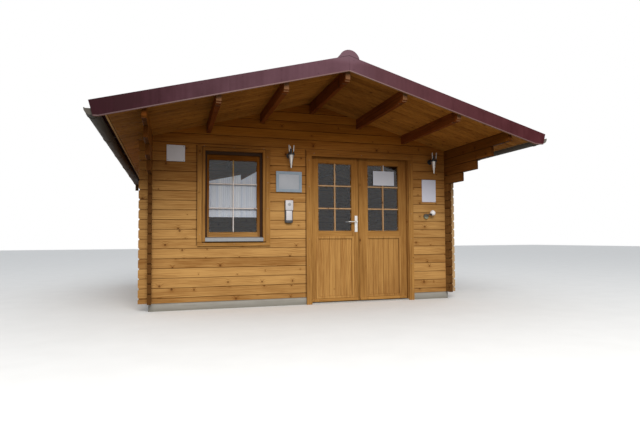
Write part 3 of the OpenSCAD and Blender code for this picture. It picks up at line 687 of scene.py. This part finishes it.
def glazing_bars(name, span, foot, head, upright_at, levels, faces, width):
    """One upright and the level bars, on each face of a pane."""
    made = []
    half = width / 2
    for y0, y1 in faces:
        made.append(block("bar", (upright_at - half, y0, foot), (upright_at + half, y1, head), 0.002))
        for level in levels:
            low, high = (span[0], y0 + 0.0004, level - half), (span[1], y1 - 0.0004, level + half)
            made.append(block("bar", low, high, 0.002))
    return joined(name, made)


def glazing_beads(name, span, foot, head, faces, width):
    """A bead all round each face of a pane."""
    made = [bead_frame("bead", (span[0], y0 + 0.0002, foot), (span[1], y1, head), width, 0.002)
            for y0, y1 in faces]
    return joined(name, made)


pane_faces = ((-1.944, -1.931), (-1.925, -1.912))
pale_pine = pine("pale_bar_pine", "Z", "X", *JOINERY_BAND, PALE_BAR, PALE_DEEP, 51.0, 0.0)
for hand, span, upright_at in (("left", LEFT_GLASS, 0.3355), ("right", RIGHT_GLASS, 1.031)):
    leaf_pine = joinery(hand + "_leaf_pine", 47.0 + span[0], lambda x, y, z, s=span: within(x, s))
    dress(["door_leaf_" + hand], leaf_pine)
    bars = glazing_bars("door_bars_" + hand, span, GLASS_FOOT, GLASS_HEAD, upright_at, BAR_LEVELS,
                        pane_faces, BAR_WIDTH)
    fit(bars, "door_" + hand, pale_pine)
    beads = glazing_beads("door_beads_" + hand, span, GLASS_FOOT, GLASS_HEAD, pane_faces, BEAD_WIDTH)
    fit(beads, "door_" + hand, leaf_pine)

# Door panels
# Narrow upright boards with chamfered joints fill the lower half of each leaf inside a moulding.
LEFT_PANEL = ((0.530, 0.285, 0.086), (0.255, 0.106, 0.026))
RIGHT_PANEL = ((0.475, 0.250, 0.074), (0.227, 0.092, 0.023))
PANEL_BOARDS = 6
left_board, right_board = [(span[1] - span[0]) / PANEL_BOARDS for span in (LEFT_GLASS, RIGHT_GLASS)]
dress(["door_panel_left"],
      pine("left_panel_pine", "Z", "X", left_board, LEFT_GLASS[0], *LEFT_PANEL, 71.0, 0.005, 0.45,
           clear=0.97, contrast=0.16))
dress(["door_panel_right"],
      pine("right_panel_pine", "Z", "X", right_board, RIGHT_GLASS[0], *RIGHT_PANEL, 83.0, 0.005, 0.6,
           clear=0.97, contrast=0.22))

# Threshold
# A plain metal strip, scuffed by feet, lies across the doorway.


def scuffed_metal(place):
    scuff = place.noise(place, scale=35, detail=5, roughness=0.7)
    colour = scuff.blend((0.30, 0.29, 0.27), (0.58, 0.57, 0.54))
    return {"Base Color": colour, "Roughness": 0.35 + scuff * 0.3}


dress(["threshold"], finish("scuffed_metal", scuffed_metal, {"Metallic": 0.8}))

# Glass
# Clear panes sit in the leaves and the window. The room behind is dark, so they act as mirrors.


def clear_pane(place):
    haze = place.noise(place, scale=2.5, detail=3)
    return {"Roughness": 0.02 + haze * 0.03}


pane = finish("clear_pane", clear_pane, {"Base Color": (0.012, 0.015, 0.018, 1), "Alpha": 0.14, "IOR": 2.6})
dress(["door_glass_left", "door_glass_right", "window_glass"], pane)

# Paper on the door
# A bare sheet of card hangs on a narrow strip in front of the bars of the right leaf. The sheet
# on the wall is the same stuff but whiter, and starts past the door on the right.
WALL_SHEET_FROM, WHITER = 1.5, (1.22, 1.22, 1.28)
CARD_LOW, CARD_HIGH, CARD_CURL = (0.885, -1.9475, 1.566), (1.197, -1.9465, 1.763), 0.0015


def white_paper(place):
    fibre = place.noise(place, scale=90, detail=4, roughness=0.7)
    fade = place.noise(place, scale=4, detail=3)
    colour = (fade * 0.7 + fibre * 0.3).clamped().blend((0.50, 0.50, 0.53), (0.62, 0.62, 0.67))
    colour = (place.split()[0] > WALL_SHEET_FROM).tint(colour, WHITER)
    return {"Base Color": colour, "Roughness": 0.8 + fibre * 0.1, "Normal": fibre.bump(0.1, 0.0004)}


def hung_card(name, low, high, curl):
    """A thin card between two corners, whose lower corners curl out by that much."""
    bpy.ops.object.select_all(action="DESELECT")
    bpy.ops.mesh.primitive_grid_add(x_subdivisions=14, y_subdivisions=10, size=1)
    card = named(name)
    for point in card.data.vertices:
        across, rise = point.co.x + 0.5, point.co.y + 0.5
        lift = curl * (1 - rise) ** 3 * (2 * across - 1) ** 2
        x, z = low[0] + (high[0] - low[0]) * across, low[2] + (high[2] - low[2]) * rise
        point.co = (x, high[1] - lift, z)
    thickness = card.modifiers.new("thickness", "SOLIDIFY")
    thickness.thickness = high[1] - low[1]
    thickness.offset = 1
    bpy.ops.object.modifier_apply(modifier=thickness.name)
    return card


paper = finish("white_paper", white_paper, {"Specular IOR Level": 0.25})
card = hung_card("door_card", CARD_LOW, CARD_HIGH, CARD_CURL)
hanger = block("hanger", (1.036, -1.9474, 1.755), (1.046, -1.9466, 1.845), 0.0003)
tack = block("tack", (1.032, -1.949, 1.840), (1.050, -1.9435, 1.850), 0.0015)
fit(joined("door_card", [card, hanger, tack]), "door_right", paper)

# Lever, plates and hinges
# Satin metal furniture: a long plate and a lever on each side of the left leaf, a lock cylinder
# under the lever, and lift-off hinges, all screwed on.
HANDLE_X, LEVER_Z, LOCK_Z = 0.630, 1.068, 0.996
PLATE_FRONT, PLATE_BACK = -1.956, -1.899
PLATE_HEADS, PLATE_HEAD = (0.946, 1.134), (0.0042, 0.0018)
KEY_HALF = 0.0009


def satin(place):
    brushed = place.noise(place.join(*[p * s for p, s in zip(place.split(), (30, 30, 400))]), detail=2)
    colour = brushed.blend((0.62, 0.61, 0.59), (0.78, 0.77, 0.75))
    return {"Base Color": colour, "Roughness": 0.28 + brushed * 0.15}


satin_metal = finish("satin_metal", satin, {"Metallic": 0.9})
dress(["door_handle_plates", "door_lever", "frame_hinges", "leaf_hinges_left", "leaf_hinges_right"],
      satin_metal)
furniture = []
for face, out in ((PLATE_FRONT, -1), (PLATE_BACK, 1)):
    ends = [(HANDLE_X, face + out * by, LOCK_Z) for by in (-0.001, 0.006)]
    cylinder = rod("cylinder", *ends, 0.0085, 24, 0.001)
    bpy.ops.object.mode_set(mode="EDIT")
    choose(lambda middle, normal: normal.y * out > 0.9)
    bpy.ops.mesh.inset(thickness=0.0025)
    raised((0, -out * 0.0012, 0))
    bpy.ops.object.mode_set(mode="OBJECT")
    y0, y1 = sorted((face + out * 0.0046, face + out * 0.0056))
    key_way = block("key_way", (HANDLE_X - KEY_HALF, y0, LOCK_Z - 0.0035),
                    (HANDLE_X + KEY_HALF, y1, LOCK_Z + 0.0035), 0.0002)
    bpy.ops.object.select_all(action="DESELECT")
    bpy.ops.mesh.primitive_torus_add(
        location=(HANDLE_X, face + out * 0.0006, LEVER_Z), rotation=(math.pi / 2, 0, 0), major_segments=40,
        minor_segments=10, major_radius=0.0130, minor_radius=0.0022)
    bpy.ops.object.transform_apply()
    furniture += [cylinder, key_way, named("rose")]
    spots = [((HANDLE_X, face, z), (0, out, 0)) for z in PLATE_HEADS]
    furniture.append(heads("plate_screws", spots, *PLATE_HEAD))
fit(joined("lock_and_roses", furniture), "door_left", satin_metal)

# Window lining, casing, stop strips and sash
# A pine lining fills the opening, with a casing nailed round it. The fixed sash stands behind stop
# strips painted near black as the shadow under the lining, and holds one pane with thin pale bars and
# beads.
WINDOW_GLASS, WINDOW_FOOT, WINDOW_HEAD = (-1.300, -0.698), 0.927, 1.834
LINING_POSTS, CASING_POSTS = (-1.348, -0.642), (0.8145, 1.9642)
WINDOW_BAR, WINDOW_LEVELS, WINDOW_BAR_WIDTH, WINDOW_BEAD = -0.999, (1.229, 1.532), 0.012, 0.005
# The sash colours are kept a little darker than the other joinery as painted shade; SASH_TOP is where a
# painted shadow under the head begins.
SASH_PALE, SASH_DEEP, SASH_TOP = (0.400, 0.210, 0.066), (0.150, 0.064, 0.018), 1.887
CHALK_PALE, CHALK_DEEP = (0.80, 0.72, 0.66), (0.62, 0.52, 0.46)


# Near black with a faint fibre: painted shadow on the stop strips.
def painted_shadow_stop(place):
    fibre = place.noise(place.join(*[p * s for p, s in zip(place.split(), (60, 60, 6))]), detail=4)
    colour = fibre.blend((0.022, 0.008, 0.003), (0.055, 0.022, 0.007))
    return {"Base Color": colour, "Roughness": 0.6 + fibre * 0.2}


dress(["window_lining"], joinery("lining_pine", 57.0, lambda x, y, z: within(x, LINING_POSTS)))
# The casing is darkened in a thin strip round its inner edge: a painted shadow line where it meets the
# lining.
dress(["window_casing"],
      joinery("window_casing_pine", 61.0, lambda x, y, z: 1 - within(z, CASING_POSTS),
              lambda x, y, z: within(x, (-1.388, -0.602)) * within(z, (0.80, 1.972))))
# The sash gets painted shade higher up and a painted shadow along its top under the lining's head.
sash_pine = pine("sash_pine", "Z", "X", *JOINERY_BAND, SASH_PALE, SASH_DEEP, 65.0, 0.0,
                 turned=lambda x, y, z: within(x, WINDOW_GLASS), eaves=(0.90, 1.55),
                 grime_and_shade=lambda x, y, z: (z > SASH_TOP) * 0.8)
dress(["window_sash"], sash_pine)
dress(["window_stop"], finish("painted_shadow_stop", painted_shadow_stop, {"Specular IOR Level": 0.2}))
window_faces = ((-1.924, -1.911), (-1.905, -1.892))
bars = glazing_bars("window_bars", WINDOW_GLASS, WINDOW_FOOT, WINDOW_HEAD, WINDOW_BAR, WINDOW_LEVELS,
                    window_faces, WINDOW_BAR_WIDTH)
# The bars are tinted brown above the net: painted shade high in the window.
chalky_pine = pine("chalky_bar_pine", "Z", "X", *JOINERY_BAND, CHALK_PALE, CHALK_DEEP, 53.0, 0.0,
                   eaves=(1.55, 1.66))
fit(bars, "root", chalky_pine)
beads = glazing_beads("window_beads", WINDOW_GLASS, WINDOW_FOOT, WINDOW_HEAD, window_faces, WINDOW_BEAD)
fit(beads, "root", sash_pine)
spots = [((x, CASING_FACE, 0.90 + number * 0.325), front)
         for x in (-1.4105, -0.5795) for number in range(4)]
spots += [((x, CASING_FACE, z), front) for x in (-1.36, -1.0, -0.63) for z in (0.787, 1.979)]
fit(heads("window_nails", spots, *JOINERY_NAIL), "root", nail_steel)

# Window sill
# Bent grey sheet metal slopes out under the sash over the lining, with a rolled front edge.
SILL_ENDS, SILL_Y, SILL_Z, SILL_ROLL = (-1.347, -0.643), -2.0435, 0.8195, 0.0035


def weathered_sheet(place):
    dust = place.noise(place, scale=14, detail=5, roughness=0.65)
    colour = dust.blend((0.215, 0.222, 0.230), (0.325, 0.333, 0.342))
    return {"Base Color": colour, "Roughness": 0.45 + dust * 0.25}


sill_steel = finish("weathered_sheet", weathered_sheet, {"Metallic": 0.25})
dress(["window_sill"], sill_steel)
ends = [(x, SILL_Y, SILL_Z) for x in SILL_ENDS]
fit(rod("sill_hem", *ends, SILL_ROLL, 12), "root", sill_steel)

# Curtain
# Two short net panels are pinned to the sash behind the pane, each higher on its right. The thin
# pale cloth falls in small even pleats.
NET_FOOT, NET_Y, PLEAT, SLACK = 1.120, -1.8820, 0.0022, 1.13
NET_SHADE, NET_PALE = (0.74, 0.81, 0.94), (0.94, 0.96, 0.99)
NET_PANELS = (("left", -1.310, -0.9005, 1.566, 1.658, 16), ("right", -0.8995, -0.688, 1.588, 1.712, 8))


def net(place):
    x, y, z = place.split()
    weave = ((x * 900).wave() + (z * 900).wave()) * 0.5
    # Painted shade and light in upright streaks along the folds.
    fold_shading = place.noise(place.join(x * 26, y * 3, z * 0.7), detail=2)
    colour = (fold_shading * 2.6 - 1.0 + weave * 0.1).clamped().blend(NET_SHADE, NET_PALE)
    return {"Base Color": colour, "Roughness": 0.85 + fold_shading * 0.1, "Normal": weave.bump(0.2, 0.0003)}


def net_panel(name, left, right, head_left, head_right, pleats):
    """A pleated panel that hangs from a sloping top edge."""
    bpy.ops.object.select_all(action="DESELECT")
    bpy.ops.mesh.primitive_grid_add(x_subdivisions=pleats * 12, y_subdivisions=20, size=1)
    panel = named(name)
    for point in panel.data.vertices:
        across, rise = point.co.x + 0.5, point.co.y + 0.5
        drift = 0.35 * math.sin(across * 17 + rise * 1.3)
        depth = PLEAT * (1 - 0.35 * rise) * math.sin(across * pleats * math.tau + drift)
        head = head_left + (head_right - head_left) * across
        point.co = (left + (right - left) * across, NET_Y + depth, NET_FOOT + (head - NET_FOOT) * rise)
    cloth = panel.modifiers.new("cloth", "SOLIDIFY")
    cloth.thickness = 0.0005
    cloth.offset = 0
    bpy.ops.object.modifier_apply(modifier=cloth.name)
    return panel


net_cloth = finish("net_cloth", net, {"Specular IOR Level": 0.2})
for hand, left, right, head_left, head_right, pleats in NET_PANELS:
    panel = net_panel("net_panel_" + hand, left, right, head_left, head_right, pleats)
    fit(panel, "root", net_cloth, ["window_curtain"])
    flat = ((right - left) * SLACK, max(head_left, head_right) - NET_FOOT)
    area = flat[0] * ((head_left + head_right) / 2 - NET_FOOT)

# Wall lamps
# A black bracket holds each lamp out from the wall: a silver cone hangs in a black collar, and a
# tube and three prongs stand up from it.
LAMPS, LAMP_OUT, COLLAR = (-0.300, 1.725), -2.115, 1.908
LAMP_RINGS = ((1.9010, 0.0435, 0.0022), (1.9150, 0.0435, 0.0022), (1.8750, 0.0302, 0.0016),
              (1.9760, 0.0125, 0.0020))
SMALL_SCREW = (0.0045, 0.002)


def lamp_coat(place):
    x, y, z = place.split()
    middle = sum(LAMPS) / 2
    out = ((abs(abs(x - middle) - (LAMPS[1] - middle)) ** 2 + (y - LAMP_OUT) ** 2) ** 0.5)
    prong = (out > 0.020) * (z > 1.940)
    dark = ((z > 1.8985) * (1 - prong) + (y > -2.060)).clamped()
    rub = place.noise(place, scale=70, detail=4)
    silver = rub.blend((0.42, 0.39, 0.36), (0.62, 0.57, 0.53))
    black = rub.blend((0.010, 0.010, 0.011), (0.026, 0.026, 0.027))
    colour = dark.blend(silver, black)
    return {"Base Color": colour, "Roughness": 0.38 + rub * 0.2, "Metallic": (1 - dark) * 0.85}


lamp_metal = finish("lamp_metal", lamp_coat)
dress(["wall_lamps"], lamp_metal)
trim = []
for x in LAMPS:
    for z, radius, thick in LAMP_RINGS:
        bpy.ops.object.select_all(action="DESELECT")
        bpy.ops.mesh.primitive_torus_add(location=(x, LAMP_OUT, z), major_segments=40, minor_segments=8,
                                         major_radius=radius, minor_radius=thick)
        trim.append(named("ring"))
    spots = [((x + offset, -2.010, COLLAR), front) for offset in (-0.024, 0.024)]
    trim.append(heads("screws", spots, *SMALL_SCREW))
trim = joined("lamp_rings_and_screws", trim)
bpy.ops.object.transform_apply()
fit(trim, "root", lamp_metal)

# Plate and paper on the wall
# A bare white plate is screwed high on the left, and a bare sheet of paper is pinned up on the
# right of the door.


def white_enamel(place):
    grime_and_shade = place.noise(place, scale=9, detail=5, roughness=0.6)
    colour = grime_and_shade.blend((0.78, 0.74, 0.73), (0.90, 0.86, 0.85))
    return {"Base Color": colour, "Roughness": 0.35 + grime_and_shade * 0.2}


enamel = finish("white_enamel", white_enamel)
dress(["notice_plate"], enamel)
dress(["notice_sheet"], paper)
spots = [((x, -2.006, z), front) for x in (-1.782, -1.600) for z in (1.794, 1.960)]
fit(heads("plate_corner_screws", spots, *SMALL_SCREW), "root", nail_steel)
spots = [((x, -2.003, z), front) for x in (1.608, 1.804) for z in (1.358, 1.648)]
fit(heads("paper_pins", spots, 0.0045, 0.0035), "root", nail_steel)

# Framed board
# A bare pale board lies in a grey-blue painted frame that is screwed to the logs.


def blue_paint(place):
    wear = place.noise(place, scale=16, detail=5, roughness=0.65)
    colour = wear.blend((0.190, 0.243, 0.295), (0.300, 0.362, 0.420))
    return {"Base Color": colour, "Roughness": 0.45 + wear * 0.2}


def pale_field(place):
    fade = place.noise(place, scale=11, detail=5, roughness=0.6)
    colour = fade.blend((0.34, 0.36, 0.39), (0.45, 0.46, 0.49))
    return {"Base Color": colour, "Roughness": 0.5 + fade * 0.15}


dress(["framed_board"], finish("blue_paint", blue_paint))
field = block("board_field", (-0.4375, -2.0145, 1.4755), (-0.1725, -2.0128, 1.6685), 0.0005)
fit(field, "root", finish("pale_field", pale_field))
spots = [((x, -2.020, z), front) for x in (-0.455, -0.155) for z in (1.458, 1.686)]
fit(heads("board_screws", spots, *SMALL_SCREW), "root", nail_steel)

# Intercom
# A white moulded housing with rounded edges on a dark back box: a wide upper half over a narrower
# lower one that ends in a dark foot, with a grey seam between them and a round grey speaker field.
SHELL_SIDE_SHADE = (0.070, 0.052, 0.040)


def white_shell(place):
    grime_and_shade = place.noise(place, scale=18, detail=4)
    front_colour = grime_and_shade.blend((0.52, 0.50, 0.51), (0.66, 0.64, 0.65))
    # The sides of the housing are painted dark brown as shade.
    colour = (facing(place, "X") > 0.8).blend(front_colour, SHELL_SIDE_SHADE)
    return {"Base Color": colour, "Roughness": 0.4 + grime_and_shade * 0.15}


def grey_shell(place):
    scuff = place.noise(place, scale=50, detail=3)
    colour = scuff.blend((0.28, 0.28, 0.29), (0.36, 0.36, 0.37))
    return {"Base Color": colour, "Roughness": 0.4 + scuff * 0.2}


def dark_shell(place):
    scuff = place.noise(place, scale=50, detail=3)
    colour = scuff.blend((0.030, 0.030, 0.032), (0.060, 0.060, 0.062))
    return {"Base Color": colour, "Roughness": 0.4 + scuff * 0.2}


shell = finish("white_shell", white_shell)
grey = finish("grey_shell", grey_shell)
dark = finish("dark_shell", dark_shell)
upper = block("upper", (-0.363, -2.058, 1.2035), (-0.259, -2.000, 1.334), 0.010)
lower = block("lower", (-0.351, -2.046, 1.078), (-0.271, -2.000, 1.2005), 0.008)
fit(joined("intercom_housing", [upper, lower]), "root", shell, ["intercom"])
foot = block("foot", (-0.3505, -2.0455, 1.046), (-0.2715, -2.000, 1.080), 0.007)
back_box = block("back_box", (-0.3625, -2.026, 1.052), (-0.2595, -2.000, 1.330), 0.004)
fit(joined("intercom_foot_and_back", [foot, back_box]), "root", dark)
seam = block("seam", (-0.349, -2.044, 1.1965), (-0.273, -2.000, 1.2075), 0.002)
speaker = rod("speaker", (-0.311, -2.057, 1.280), (-0.311, -2.0592, 1.280), 0.020, 32, 0.0008)
fit(joined("intercom_seam_and_speaker", [seam, speaker]), "root", grey)

# Sensor
# A white ball stands on a short arm from a round grey base, and looks out through a dark lens.
SENSOR_BASE, SENSOR_BALL = Vector((1.650, -2.000, 1.146)), Vector((1.722, -2.072, 1.191))
BALL_RADIUS, SENSOR_LOOK = 0.0395, Vector((-0.79, -0.25, -0.56)).normalized()


def ball_and_base(place):
    far = sum((part - middle) ** 2 for part, middle in zip(place.split(), SENSOR_BALL)) ** 0.5
    grime_and_shade = place.noise(place, scale=18, detail=4)
    white = grime_and_shade.blend((0.80, 0.79, 0.78), (0.92, 0.91, 0.90))
    low = ((SENSOR_BASE.z - place.split()[2]) / 0.02).clamped()
    base = low.blend(grime_and_shade.blend((0.050, 0.045, 0.038), (0.110, 0.105, 0.085)), (0.26, 0.27, 0.17))
    colour = (far > BALL_RADIUS).blend(white, base)
    return {"Base Color": colour, "Roughness": 0.4 + grime_and_shade * 0.15}


ball_shell = finish("ball_and_base", ball_and_base)
dress(["sensor"], ball_shell)
lens = rod("sensor_lens", SENSOR_BALL + SENSOR_LOOK * (BALL_RADIUS - 0.006),
           SENSOR_BALL + SENSOR_LOOK * BALL_RADIUS, 0.017, 28, 0.002)
fit(lens, "root", dark)
bpy.ops.object.select_all(action="DESELECT")
bpy.ops.mesh.primitive_torus_add(
    location=SENSOR_BASE + Vector((0, -0.026, 0)), rotation=(math.pi / 2, 0, 0), major_segments=40,
    minor_segments=8, major_radius=0.0325, minor_radius=0.0022)
bpy.ops.object.transform_apply()
fit(named("sensor_ring"), "root", ball_shell)

# Stage, light and camera
# A pale floor under the hut, a plain white surround and the camera of the picture. The camera,
# metal and glass see the floor as pale: it throws light back under the roof as a grey one does.
STAGE_SIZE, SKY_COLOUR, SKY_STRENGTH = 80, (0.93, 0.96, 1.0, 1), 0.78
LAMP_PLACE, LAMP_AIM, LAMP_SIZE, LAMP_POWER = (-1.5, -12.0, 7.5), Vector((0.0, -1.5, 1.0)), 7, 1250
GREY_STAGE, PALE_STAGE = ((0.22,) * 3, (0.26,) * 3), ((0.72, 0.72, 0.71), (0.78, 0.78, 0.77))
bpy.ops.object.select_all(action="DESELECT")
bpy.ops.mesh.primitive_plane_add(size=STAGE_SIZE)
stage_floor = bpy.context.object
stage_floor.name = "stage_floor"
stage_floor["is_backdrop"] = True


def seen_ray(tree):
    """1 for what the camera sees, straight, mirrored or through glass."""
    kinds = ("Is Camera Ray", "Is Glossy Ray", "Is Transmission Ray")
    start = Wire(tree, None)
    straight, mirrored, through = [start.add("ShaderNodeLightPath", output=kind) for kind in kinds]
    return (straight + mirrored + through).clamped()


def pale_floor(place):
    speck = place.noise(place, scale=3, detail=4)
    seen = seen_ray(place.tree)
    return {"Base Color": seen.blend(speck.blend(*GREY_STAGE), speck.blend(*PALE_STAGE))}


dull = {"Roughness": 0.9, "Specular IOR Level": 0.1}
stage_floor.data.materials.append(finish("pale_floor", pale_floor, dull))

world = bpy.data.worlds.new("sky")
bpy.context.scene.world = world
world.use_nodes = True
air = world.node_tree
sky = air.nodes["Background"]
sky.inputs["Color"].default_value = SKY_COLOUR
sky.inputs["Strength"].default_value = SKY_STRENGTH
white_sky = air.nodes.new("ShaderNodeBackground")
white_sky.inputs["Color"].default_value = (1, 1, 1, 1)
either = air.nodes.new("ShaderNodeMixShader")
air.links.new(seen_ray(air).socket, either.inputs[0])
air.links.new(sky.outputs[0], either.inputs[1])
air.links.new(white_sky.outputs[0], either.inputs[2])
air.links.new(either.outputs[0], air.nodes["World Output"].inputs["Surface"])

soft_light = bpy.data.lights.new("soft_light", "AREA")
soft_light.shape = "DISK"
soft_light.size = LAMP_SIZE
soft_light.energy = LAMP_POWER
soft_light.color = (1.0, 0.97, 0.93)
lamp = bpy.data.objects.new("soft_light", soft_light)
bpy.context.scene.collection.objects.link(lamp)
lamp.location = LAMP_PLACE
lamp.rotation_euler = (LAMP_AIM - lamp.location).to_track_quat("-Z", "Y").to_euler()

EYE = Vector((-1.718, -7.968, 0.840))
YAW, TILT, ROLL = math.radians(17.03), math.radians(2.264), math.radians(-0.322)
FOCAL_PIXELS, IMAGE_WIDTH, FILM_WIDTH = 480.1, 640, 36.0
ahead = Vector((math.sin(YAW) * math.cos(TILT), math.cos(YAW) * math.cos(TILT), math.sin(TILT)))
level_right = Vector((math.cos(YAW), -math.sin(YAW), 0.0))
level_up = level_right.cross(ahead)
right = level_right * math.cos(ROLL) + level_up * math.sin(ROLL)
up = level_up * math.cos(ROLL) - level_right * math.sin(ROLL)
camera = bpy.data.objects.new("camera", bpy.data.cameras.new("camera"))
bpy.context.scene.collection.objects.link(camera)
camera.data.sensor_width = FILM_WIDTH
camera.data.lens = FOCAL_PIXELS / IMAGE_WIDTH * FILM_WIDTH
camera.data.clip_end = 200
camera.matrix_world = Matrix.Translation(EYE) @ Matrix((right, up, -ahead)).transposed().to_4x4()
bpy.context.scene.camera = camera
bpy.context.scene.view_settings.view_transform = "Standard"

low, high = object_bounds()
